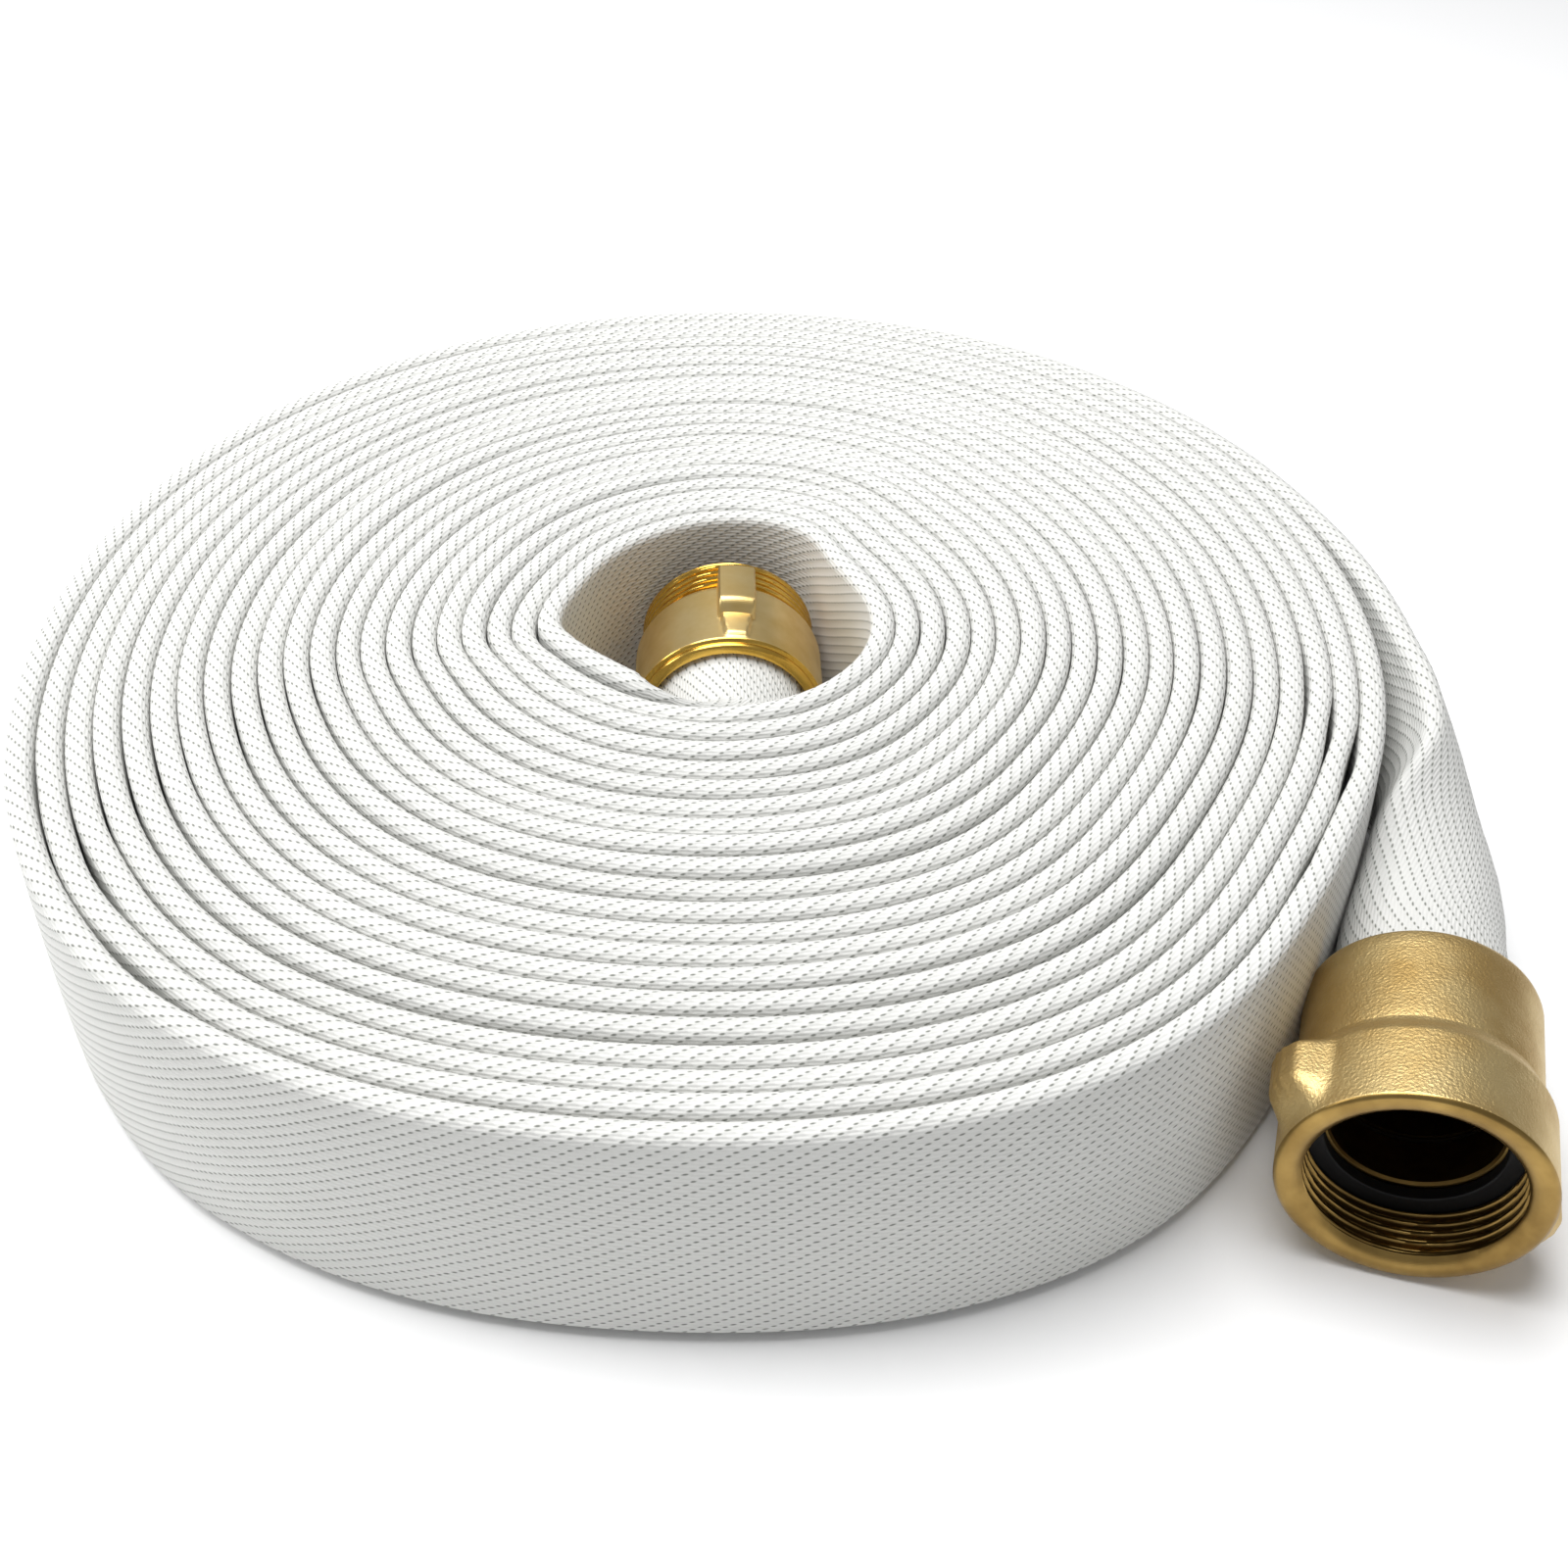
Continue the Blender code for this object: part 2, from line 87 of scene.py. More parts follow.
camera = bpy.data.objects.new("camera", bpy.data.cameras.new("camera"))
bpy.context.scene.collection.objects.link(camera)
camera.location = (0.01197, -0.43472, 0.36598)
camera.rotation_euler = (math.radians(50.225), 0.0, 0.0)
camera.data.sensor_width = 36.0
camera.data.lens = 44.034
camera.data.clip_start = 0.01
bpy.context.scene.camera = camera
bpy.context.scene.view_settings.view_transform = "Standard"


def area_light(name, place, target, size, power):
    """A round soft light that faces its target."""
    light = bpy.data.lights.new(name, "AREA")
    light.shape = "DISK"
    light.size = size
    light.energy = power
    lamp = bpy.data.objects.new(name, light)
    bpy.context.scene.collection.objects.link(lamp)
    lamp.location = place
    lamp.rotation_euler = (Vector(target) - Vector(place)).to_track_quat("-Z", "Y").to_euler()


area_light("overhead", (-0.20, 0.08, 1.30), (0.0, 0.0, 0.0), 1.20, 22.8)
area_light("window_side", (-1.05, 0.05, 0.55), (0.0, 0.0, 0.03), 0.60, 4.5)

world = bpy.data.worlds.new("studio")
world.use_nodes = True
bpy.context.scene.world = world
world.node_tree.nodes["Background"].inputs["Color"].default_value = (0.97, 0.98, 1.0, 1.0)
world.node_tree.nodes["Background"].inputs["Strength"].default_value = 0.32

bpy.ops.mesh.primitive_plane_add(size=6.0, location=(0.0, 0.0, -0.0012))
floor = bpy.context.object
floor.name = "floor"
paper, _, paper_shader = finish_material("matt_white_paper", 0.9, Specular_IOR_Level=0.1)
paper_shader.inputs["Base Color"].default_value = linear("#FAFAFA")
floor.data.materials.append(paper)

# ---------------------------------------------------------------- woven hose
# 15 m of single-jacket lay-flat hose: a circular-woven white polyester jacket over a thin rubber
# tube. It was wound on edge from the eye outwards, so each turn stands on one fold, and both ends
# open out to a round tube where the couplings' rings hold them. It is one closed mesh.

ROLL_X, ROLL_Y = -0.0093, -0.0033   # the roll's centre
HOSE_WIDTH = 0.066                  # lay-flat width
RIBBON = 0.0066                     # thickness of the flat hose
WALL = 0.0022                       # jacket and rubber tube together
TURN_GAP = 0.00014                  # between turns that touch
UNEVEN = 0.00035                    # how far a turn strays in and out
FOLD_DIP, STAND = 0.0009, 0.0003    # mean drop of the upper folds, mean height of the lower ones
HOSE_RADIUS = 0.0210                # where it is round
JACKET_IN, JACKET_OUT = 0.0216, 0.0226
BOWL_DEPTH, GASKET, GAP = 0.0239, 0.0015, 0.0003
OUTER_LEAVE, INNER_LEAVE = 20.0, 172.0
WOUND = 20 * 360.0 + INNER_LEAVE - OUTER_LEAVE   # degrees from the outer end to the inner

# Radius by bearing: the roll's outside, and the eye in its middle.
OUTLINE = {
    20: 0.1895, 57: 0.1917, 92: 0.1907, 135: 0.1892, 180: 0.1844,
    228: 0.1922, 267: 0.1874, 303: 0.1940, 328: 0.1865, 350: 0.1878,
}
EYE = {
    -175: 0.0399, -155: 0.0339, -127: 0.0305, -79: 0.0325, -36: 0.0384, 0: 0.0417,
    39: 0.0428, 61: 0.0509, 84: 0.0508, 114: 0.0454, 150: 0.0396,
}
# Where two turns stand apart: the turn inside the gap, counted from 0 at the outermost, then the
# gap's bearing, its width and half its span in degrees.
SLITS = (
    (1, 228, 0.0021, 9), (1, 203, 0.0008, 5), (1, 340, 0.0020, 6), (1, 326, 0.0010, 4),
    (2, 216, 0.0016, 7), (2, 344, 0.0014, 6), (3, 350, 0.0011, 9), (18, 191, 0.0007, 12),
    (20, 85, 0.0009, 10),
)


def radius_at(table, bearing):
    """Smooth closed curve through a table of radius by bearing (cubic between neighbours)."""
    keys = sorted(table)
    angles = [keys[-1] - 360.0] + keys + [keys[0] + 360.0, keys[1] + 360.0]
    radii = [table[keys[-1]]] + [table[k] for k in keys] + [table[keys[0]], table[keys[1]]]
    bearing = (bearing - keys[0]) % 360.0 + keys[0]
    i = bisect.bisect_right(angles, bearing) - 1

    def slope(k):
        if k == 0:
            k = len(keys)
        return (radii[k + 1] - radii[k - 1]) / (angles[k + 1] - angles[k - 1])

    span = angles[i + 1] - angles[i]
    u = (bearing - angles[i]) / span
    end_slope = slope(i + 1) if i + 2 < len(angles) else slope(1)
    return ((1 + 2 * u) * (1 - u) ** 2 * radii[i] + u * (1 - u) ** 2 * span * slope(i)
            + u * u * (3 - 2 * u) * radii[i + 1] + u * u * (u - 1) * span * end_slope)


def wander(turned, seed):
    """A slow, uneven wave from -1 to 1 along the wound hose."""
    a = math.radians(turned)
    return (0.5 * math.sin(0.83 * a + seed) + 0.3 * math.sin(1.71 * a + 2.1 * seed)
            + 0.2 * math.sin(3.37 * a + 3.7 * seed))


def boundary(turned):
    """Radius of the surface between the turn here and the one outside it."""
    share = turned / (WOUND + 360.0)
    bearing = OUTER_LEAVE + turned
    radius = (1 - share) * radius_at(OUTLINE, bearing) + share * radius_at(EYE, bearing)
    inside = min(1.0, turned / 360.0, max(0.0, (WOUND - turned) / 360.0))
    return radius + UNEVEN * inside * wander(turned, 1.3)


def gap_at(turned):
    """Width of the gap between the turn here and the one outside it."""
    width = TURN_GAP
    for turn, bearing, opening, half_span in SLITS:
        away = abs(turned - (bearing - OUTER_LEAVE) % 360.0 - 360.0 * turn) / half_span
        if away < 1.0:
            width += opening * (1 - away * away) ** 2
    return width


def wound_section(turned):
    """Centre, heading, thickness, lowest and highest point of the hose in the roll."""
    outer = boundary(turned) - gap_at(turned) / 2
    inner = boundary(turned + 360.0) + gap_at(turned + 360.0) / 2
    bearing = math.radians(OUTER_LEAVE + turned)
    middle = (outer + inner) / 2
    centre = Vector((ROLL_X + middle * math.cos(bearing), ROLL_Y + middle * math.sin(bearing)))
    top = HOSE_WIDTH - FOLD_DIP + FOLD_DIP * wander(turned, 4.2)
    bottom = STAND + 0.0002 * wander(turned, 8.8)
    return centre, OUTER_LEAVE + turned + 90.0, outer - inner, bottom, top


# The hose's outer end, about the roll's centre, from the roll to its coupling: x, y, z, thickness,
# height, and how far its upper fold leans towards the roll, in degrees.
OUTER_ROUTE = (
    (0.1830, 0.0373, 0.0330, 0.0066, 0.0654, 0.0),
    (0.1874, 0.0160, 0.0330, 0.0078, 0.0652, 0.0),
    (0.1898, -0.0060, 0.0328, 0.0115, 0.0645, 0.0),
    (0.1922, -0.0250, 0.0326, 0.0185, 0.0630, 2.0),
    (0.1914, -0.0450, 0.0322, 0.0248, 0.0595, 7.0),
    (0.1886, -0.0650, 0.0314, 0.0305, 0.0550, 30.0),
    (0.1836, -0.0820, 0.0306, 0.0352, 0.0480, 45.0),
    (0.1786, -0.0950, 0.0302, 0.0400, 0.0435, 55.0),
)
BOWL_LEAN = 60.0                    # the same lean where it enters the coupling
# The inner end, from the eye's wall, and the upright line that it then folds round as it opens.
INNER_ROUTE = ((-0.0425, -0.0020), (-0.0380, -0.0090), (-0.0262, -0.0201), (-0.0195, -0.0252))
FAN_PIVOT = (-0.0165, -0.0211)
FAN_CLEAR = 0.0020                  # from that line to the hose's wall
FAN_REACHED = 0.0018                # the route before the fan stops this near its start
EASED_SECTIONS = 6                  # how many sections before the fan turn ahead of the route
# Heading of the hose there and its thickness.
FAN = ((-10.0, 0.0072), (15.0, 0.0098), (38.0, 0.0156), (58.0, 0.0245), (76.0, 0.0340), (92.0, 0.0420))

swivel_joint = next(j for j in frame["joints"] if j["name"] == "swivel_spin")
FEMALE_MOUTH = Vector(swivel_joint["pos_m"])
FEMALE_OUT = Vector(swivel_joint["axis"]).normalized()
FEMALE_LENGTH = 0.0554
MALE_BOWL = Vector((-0.0034, -0.0066, 0.0330))   # centre of the male coupling's bowl mouth
MALE_OUT = Vector(next(m for m in frame["record"]["mounts"] if m["name"] == "male_face")["axis"])
MALE_LENGTH = 0.0430


def smooth_rows(rows, spacing):
    """Rows of numbers whose first three are a place, read off a smooth curve through them."""
    rows = np.array(rows, float)
    steps = np.linalg.norm(np.diff(rows[:, :3], axis=0), axis=1)
    at = np.concatenate(([0.0], np.cumsum(steps)))
    slopes = np.gradient(rows, at, axis=0, edge_order=1)
    read = np.linspace(0.0, at[-1], max(2, round(at[-1] / spacing) + 1))
    made = []
    for s in read:
        i = min(int(np.searchsorted(at, s, side="right")) - 1, len(at) - 2)
        span = at[i + 1] - at[i]
        u = (s - at[i]) / span
        made.append((1 + 2 * u) * (1 - u) ** 2 * rows[i] + u * (1 - u) ** 2 * span * slopes[i]
                    + u * u * (3 - 2 * u) * rows[i + 1] + u * u * (u - 1) * span * slopes[i + 1])
    return made


def heading_of(direction):
    """Bearing of a direction in plan, in degrees."""
    return math.degrees(math.atan2(direction.y, direction.x))


def round_run(mouth, into, heading, lean, places):
    """Round sections of a hose end: places are (distance past the bowl's mouth, radius)."""
    return [(*(mouth + into * s), heading, 2 * r, 2 * r, lean) for s, r in places]


SEAT = BOWL_DEPTH - GASKET - 2 * GAP
OUTSIDE_OF_END = ((-0.006, HOSE_RADIUS), (-0.001, HOSE_RADIUS + 0.0003), (0.003, JACKET_OUT),
                  (SEAT - 0.0003, JACKET_OUT), (SEAT, JACKET_OUT - 0.0003))
INSIDE_OF_END = ((SEAT, JACKET_IN + 0.0003), (SEAT - 0.0003, JACKET_IN), (0.0005, JACKET_IN),
                 (-0.003, HOSE_RADIUS - 0.0014))

# Every section as x, y, z, heading, thickness, height, lean, walked from the outer end inwards.
# The outer tail's curve runs on into the roll's first degrees, where the wound sections take over.
female_bowl = FEMALE_MOUTH - FEMALE_OUT * FEMALE_LENGTH
first_turn = []
for turned in (2.0, 8.0, 14.0):
    centre, heading, thickness, bottom, top = wound_section(turned)
    first_turn.append((centre.x, centre.y, (top + bottom) / 2, thickness, top - bottom, 0.0))
outer_rows = [(*(female_bowl - FEMALE_OUT * 0.006), 2 * HOSE_RADIUS, 2 * HOSE_RADIUS, BOWL_LEAN)]
outer_rows += [(ROLL_X + x, ROLL_Y + y, *rest) for x, y, *rest in reversed(OUTER_ROUTE)]
outer_rows = smooth_rows(outer_rows + first_turn, 0.0035)
outer_tail = []
for i, row in enumerate(outer_rows[:-2]):
    ahead = outer_rows[i + 1] - outer_rows[max(i - 1, 0)]
    outer_tail.append((*row[:3], math.degrees(math.atan2(ahead[1], ahead[0])), *row[3:]))


def hollow(rows):
    """The inside of a hose end: its sections less twice the wall."""
    return [(*row[:4], row[4] - 2 * WALL, row[5] - 2 * WALL, row[6]) for row in rows]


sections = hollow(outer_tail[10:0:-2])
from_bowl = heading_of(-FEMALE_OUT)
sections += round_run(female_bowl, FEMALE_OUT, from_bowl, BOWL_LEAN, reversed(INSIDE_OF_END))
sections += round_run(female_bowl, FEMALE_OUT, from_bowl, BOWL_LEAN, reversed(OUTSIDE_OF_END))
first_outside = len(sections) - len(OUTSIDE_OF_END)
sections += outer_tail[1:]
first_wound = len(sections)

# Wound sections stand closer together towards the eye, where the hose bends more tightly.
turned = 15.0
while turned < WOUND:
    centre, heading, thickness, bottom, top = wound_section(turned)
    sections.append((*centre, (top + bottom) / 2, heading, thickness, top - bottom, 0.0))
    radius = math.hypot(centre.x - ROLL_X, centre.y - ROLL_Y)
    turned += math.degrees((0.0033 + 0.018 * radius) / radius)

centre, heading, thickness, bottom, top = wound_section(WOUND)
inner_rows = [(*centre, HOSE_WIDTH / 2, thickness)]
inner_rows += [(ROLL_X + x, ROLL_Y + y, HOSE_WIDTH / 2, RIBBON) for x, y in INNER_ROUTE]
pivot = Vector((ROLL_X + FAN_PIVOT[0], ROLL_Y + FAN_PIVOT[1], HOSE_WIDTH / 2))


def fan_place(heading, thickness):
    """Centre of a section that has folded round the pivot to this heading."""
    out = Vector((math.sin(math.radians(heading)), -math.cos(math.radians(heading)), 0.0))
    return pivot + out * (thickness / 2 + FAN_CLEAR)


fan_start = fan_place(*FAN[0])
inner_rows.append((*fan_start, FAN[0][1]))
inner_rows.append((*fan_place(*FAN[1]), FAN[1][1]))
inner_rows = smooth_rows(inner_rows, 0.0025)
for before, row, after in zip(inner_rows, inner_rows[1:], inner_rows[2:]):
    ahead = after - before
    heading = math.degrees(math.atan2(ahead[1], ahead[0]))
    if (Vector(row[:3]) - fan_start).length < FAN_REACHED:
        break
    sections.append((*row[:3], heading, row[3], HOSE_WIDTH - 2 * GAP, 0.0))

# The last few sections turn ahead of the path, so that they meet the fan squarely.
short_of = FAN[0][0] - sections[-1][3]
for back in range(EASED_SECTIONS):
    x, y, z, heading, thickness, height, lean = sections[-1 - back]
    heading += short_of * 0.8 * (1 - back / EASED_SECTIONS) ** 2
    sections[-1 - back] = (x, y, z, heading, thickness, height, lean)

fan_headings = [heading for heading, _ in FAN]
fan_thickness = [thickness for _, thickness in FAN]
fan_tail = []
for heading in np.linspace(FAN[0][0], FAN[-1][0], 34):
    thickness = float(np.interp(heading, fan_headings, fan_thickness))
    spread = (thickness - RIBBON) / (2 * HOSE_RADIUS - RIBBON)
    height = HOSE_WIDTH - 2 * GAP + spread * (2 * HOSE_RADIUS - HOSE_WIDTH + 2 * GAP)
    fan_tail.append((*fan_place(heading, thickness), heading, thickness, height, 0.0))
sections += fan_tail
sections += round_run(MALE_BOWL, MALE_OUT, heading_of(MALE_OUT), 0.0, OUTSIDE_OF_END)
last_outside = len(sections)
sections += round_run(MALE_BOWL, MALE_OUT, heading_of(MALE_OUT), 0.0, INSIDE_OF_END)
sections += hollow(fan_tail[:-8:-2])

# Points round a section, as shares of its girth from the middle of the wall on the right of the
# hose's heading: close together over the upper fold, where it shows, and wider along the walls.
FOLD = 0.038                                     # half a fold's share of the girth
upper = np.linspace(0.25 - FOLD, 0.25 + FOLD, 9)
lower = np.linspace(0.75 - FOLD, 0.75 + FOLD, 4)
wall = np.linspace(0.0, 0.25 - FOLD, 6)[:-1]
SHARES = np.concatenate((wall, upper, 0.5 - wall[:0:-1], 0.5 + wall, lower, 1.0 - wall[:0:-1]))
FINE = 480                                       # steps that a section's girth is measured in
UPPER_FOLD, LOWER_FOLD = 2.9, 2.7                # how square each fold is: 2 would be a half circle
SLACK = 0.0024                                   # how far the outermost turn's free wall bags out


def smooth_step(value, low, high):
    """Rises from 0 at low to 1 at high, level at both."""
    share = np.clip((value - low) / (high - low), 0.0, 1.0)
    return share * share * (3 - 2 * share)


def section_outline(thickness, height, slack):
    """(across, up) round a section. Flat, it is two walls between rounded folds. As it opens, its
    walls belly out between sharper folds, until it is a plain circle."""
    opened = min(1.0, max(0.0, (thickness - RIBBON) / (2 * HOSE_RADIUS - RIBBON)))
    fold = max(1e-6, min(thickness, RIBBON) / 2 * (1 - opened))
    belly = thickness / 2 - fold
    a = np.linspace(0.0, 2 * np.pi, FINE, endpoint=False)
    up = height / 2 * np.sin(a)
    power = np.where(up > 0, UPPER_FOLD, LOWER_FOLD)
    inwards = 1 - np.clip((height / 2 - np.abs(up)) / fold, 0.0, 1.0)
    across = fold * (1 - inwards ** power) ** (1 / power)
    across += belly * np.clip(1 - (2 * up / height) ** 2, 0.0, 1.0) ** (1 - 0.5 * opened ** 4)
    across *= np.sign(np.cos(a))
    level = up / height + 0.5
    bagged = np.where(level > 0.35, 1 - ((level - 0.35) / 0.65) ** 2, 1 - 0.25 * (1 - level / 0.35) ** 4)
    across += slack * smooth_step(across / thickness * 2, -0.6, 0.8) * bagged
    points = np.vstack((np.c_[across, up], [(across[0], up[0])]))
    girth = np.concatenate(([0.0], np.cumsum(np.linalg.norm(np.diff(points, axis=0), axis=1))))
    share = girth / girth[-1]
    return np.c_[np.interp(SHARES, share, points[:, 0]), np.interp(SHARES, share, points[:, 1])]


rows = np.array(sections)
gone_round = np.degrees(np.unwrap(np.radians(rows[:, 3])))
gone_round -= gone_round[first_wound]
slack = SLACK * smooth_step(gone_round, 10.0, 70.0) * (1 - smooth_step(gone_round, 285.0, 325.0))
slack *= 1 - 0.8 * np.exp(-((gone_round - 172.0) / 26.0) ** 2)   # it hugs the roll on its left
slack[:first_wound - 6] = 0.0
turn_to = np.radians(rows[:, 3])
right = np.c_[np.sin(turn_to), -np.cos(turn_to)]
count = len(SHARES)
points = np.zeros((len(rows), count, 3))
for k, row in enumerate(rows):
    outline = section_outline(row[4], row[5], slack[k])
    lean = math.radians(row[6])
    outline = outline @ np.array(((math.cos(lean), math.sin(lean)), (-math.sin(lean), math.cos(lean))))
    points[k, :, :2] = row[:2] + outline[:, :1] * right[k]
    points[k, :, 2] = row[2] + outline[:, 1]

along = np.concatenate(([0.0], np.cumsum(np.linalg.norm(np.diff(rows[:, :3], axis=0), axis=1))))
index = np.arange(len(rows) * count).reshape(len(rows), count)
quads, weave = [], []
for k in range(len(rows) - 1):
    for i in range(count):
        j = (i + 1) % count
        quads.append((index[k, i], index[k, j], index[k + 1, j], index[k + 1, i]))
        near, far = SHARES[i], SHARES[j] if j else 1.0
        weave.append(((along[k], near), (along[k], far), (along[k + 1], far), (along[k + 1], near)))
hose_mesh = bpy.data.meshes.new("woven_hose")
caps = [tuple(index[0][::-1]), tuple(index[-1])]
hose_mesh.from_pydata(points.reshape(-1, 3).tolist(), [], [tuple(map(int, q)) for q in quads] + [
    tuple(map(int, cap)) for cap in caps])
PICK, END = 0.00174, 0.0010                      # spacing of weft picks and of warp ends
GIRTH_ENDS = 138                                 # warp ends round the jacket
uv = np.zeros((len(hose_mesh.loops), 2))
uv[:len(quads) * 4] = np.array(weave).reshape(-1, 2)
uv[:, 1] *= GIRTH_ENDS * END
hose_mesh.uv_layers.new(name="weave").data.foreach_set("uv", uv.astype(np.float32).ravel())
hose_mesh.shade_smooth()
hose = bpy.data.objects.new("woven_hose", hose_mesh)
bpy.context.scene.collection.objects.link(hose)

# Woven polyester, spun white yarn in a three-end twill: warp along the hose floats over two picks
# and dips under the third. Matt, near white, with a small slanting shadow painted into the colour at each dip.
SHADOW_HALF_LENGTH, SHADOW_HALF_WIDTH, SHADOW_SLANT = 0.00082, 0.00034, 0.16
jacket, tree, shader = finish_material("woven_polyester_jacket", 0.82, Specular_IOR_Level=0.25,
                                       Sheen_Weight=0.08, Sheen_Roughness=0.4)
lay = node(tree, "UVMap", uv_map="weave").outputs[0]
unevenness = node(tree, "TexNoise", {"Vector": lay, "Scale": 360.0, "Detail": 1.0})
sway = node(tree, "VectorMath", {0: unevenness.outputs["Color"], 1: (0.5, 0.5, 0.5)},
            operation="SUBTRACT").outputs[0]
nudged = node(tree, "VectorMath", {0: sway, 1: (0.0008, 0.0003, 0.0), 2: lay},
              operation="MULTIPLY_ADD").outputs[0]
split = node(tree, "SeparateXYZ", {0: nudged})
picks = node(tree, "Math", {0: split.outputs[0], 1: PICK}, operation="DIVIDE").outputs[0]
ends = node(tree, "Math", {0: split.outputs[1], 1: END}, operation="DIVIDE").outputs[0]
end_number = node(tree, "Math", {0: ends}, operation="ROUND").outputs[0]
phase = node(tree, "Math", {0: picks, 1: end_number}, operation="SUBTRACT").outputs[0]
# Distance in picks along the warp from its nearest dip, -1.5 to 1.5, and across from its middle.
from_dip = node(tree, "Math", {0: phase, 1: 1.5, 2: -1.5}, operation="WRAP").outputs[0]
from_middle = node(tree, "Math", {0: ends, 1: 0.5, 2: -0.5}, operation="WRAP").outputs[0]
dip_length = node(tree, "Math", {0: from_dip, 1: PICK / SHADOW_HALF_LENGTH}, operation="MULTIPLY").outputs[0]
level = node(tree, "Math", {0: from_dip, 1: -SHADOW_SLANT * PICK / END, 2: from_middle},
             operation="MULTIPLY_ADD").outputs[0]
dip_width = node(tree, "Math", {0: level, 1: END / SHADOW_HALF_WIDTH}, operation="MULTIPLY").outputs[0]
dip_place = node(tree, "CombineXYZ", {0: dip_length, 1: dip_width}).outputs[0]
dip_reach = node(tree, "VectorMath", {0: dip_place}, operation="LENGTH").outputs["Value"]
# Painted shadow: a darker slanting dash, in the colour, round each dip of the warp.
dip_painted_shadow = node(tree, "MapRange", {0: dip_reach, 1: 0.35, 2: 1.15, 3: 1.0, 4: 0.0},
           interpolation_type="SMOOTHSTEP").outputs[0]
# Relief: each float is a plump lens, highest halfway between its dips.
beside = node(tree, "Math", {0: from_middle}, operation="ABSOLUTE").outputs[0]
crown = node(tree, "MapRange", {0: beside, 1: 0.5, 2: 0.0, 3: 0.65, 4: 1.0},
             interpolation_type="SMOOTHSTEP").outputs[0]
away = node(tree, "Math", {0: from_dip}, operation="ABSOLUTE").outputs[0]
float_rise = node(tree, "MapRange", {0: away, 1: 0.1, 2: 1.1},
                  interpolation_type="SMOOTHSTEP").outputs[0]
relief = node(tree, "Math", {0: crown, 1: float_rise}, operation="MULTIPLY").outputs[0]
wear = node(tree, "TexNoise", {"Vector": lay, "Scale": 9.0, "Detail": 3.0}).outputs[0]
yarn = node(tree, "Mix", {0: wear, 6: linear("#DDDDDA"), 7: linear("#D3D3CF")}, data_type="RGBA")
# Painted shadow: the yarn's colour is mixed towards dark grey at each dip.
shade = node(tree, "Mix", {0: dip_painted_shadow, 6: yarn.outputs[2], 7: linear("#7C7E78")}, data_type="RGBA")
bump = node(tree, "Bump", {"Strength": 0.8, "Distance": 0.0004, "Height": relief})
tree.links.new(shade.outputs[2], shader.inputs["Base Color"])
tree.links.new(bump.outputs[0], shader.inputs["Normal"])

# The tube inside is black rubber, seen only down the open ends.
tube_rubber, tree, shader = finish_material("black_rubber_tube", 0.55)
speckle = node(tree, "TexNoise", {"Vector": node(tree, "TexCoord").outputs["Object"], "Scale": 900.0})
soot = node(tree, "Mix", {0: speckle.outputs[0], 6: linear("#0B0B0C"), 7: linear("#1B1B1C")},
            data_type="RGBA")
tree.links.new(soot.outputs[2], shader.inputs["Base Color"])
hose_mesh.materials.append(jacket)
hose_mesh.materials.append(tube_rubber)
lined = np.zeros(len(hose_mesh.polygons), np.int32)
lined[:first_outside * count] = 1
lined[last_outside * count:] = 1
hose_mesh.polygons.foreach_set("material_index", lined)

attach(hose, "hose")
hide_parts("hose_roll", "outer_tail", "inner_tail")

# ---------------------------------------------------------------- swivel
# The nut that turns on the female tailpiece: sand-cast brass with two rocker lugs for a spanner,
# its face, bore and thread cut on a lathe. The castings' parting line runs over both lugs.

UP = Vector((0.0, 0.0, 1.0))


def axis_matrix(place, outward):
    """Stands local +Z on a coupling's axis, out of its mating end, with local +X up."""
    return Matrix.Translation(place) @ Matrix((UP, outward.cross(UP), outward)).transposed().to_4x4()


FEMALE_AXIS = axis_matrix(FEMALE_MOUTH, FEMALE_OUT)
MALE_AXIS = axis_matrix(MALE_BOWL, MALE_OUT)
THREAD_PITCH = 0.0254 / 9                        # 1.5 in hose thread, nine to the inch


def turned_blank(name, profile, sides):
    """A closed profile of (radius, height), spun about +Z."""
    bpy.ops.object.select_all(action="DESELECT")
    bpy.ops.mesh.primitive_circle_add(vertices=len(profile), radius=0.01)
    blank = bpy.context.object
    blank.name = blank.data.name = name
    for vertex, (radius, height) in zip(blank.data.vertices, profile):
        vertex.co = (radius, 0.0, height)
    bpy.ops.object.mode_set(mode="EDIT")
    bpy.ops.mesh.select_all(action="SELECT")
    bpy.ops.mesh.spin(steps=sides, angle=2 * math.pi, center=(0, 0, 0), axis=(0, 0, 1))
    bpy.ops.mesh.select_all(action="SELECT")
    bpy.ops.mesh.remove_doubles(threshold=0.000002)
    bpy.ops.mesh.normals_make_consistent(inside=False)
    bpy.ops.object.mode_set(mode="OBJECT")
    return blank


def cylinder_coordinates(piece):
    """Radius, angle in degrees and height of each of a piece's points about +Z."""
    points = np.zeros(len(piece.data.vertices) * 3, np.float32)
    piece.data.vertices.foreach_get("co", points)
    points = points.reshape(-1, 3).astype(float)
    return (np.hypot(points[:, 0], points[:, 1]), np.degrees(np.arctan2(points[:, 1], points[:, 0])),
            points[:, 2])


def set_radii(piece, radius, angle, height):
    """Puts a piece's points back at new radii about +Z."""
    points = np.c_[radius * np.cos(np.radians(angle)), radius * np.sin(np.radians(angle)), height]
    piece.data.vertices.foreach_set("co", points.astype(np.float32).ravel())
    piece.data.update()


def rows_between(radius, high, low, spacing):
    """Profile points down a straight wall."""
    steps = max(1, round(abs(high - low) / spacing))
    return [(radius, high + (low - high) * i / steps) for i in range(steps + 1)]


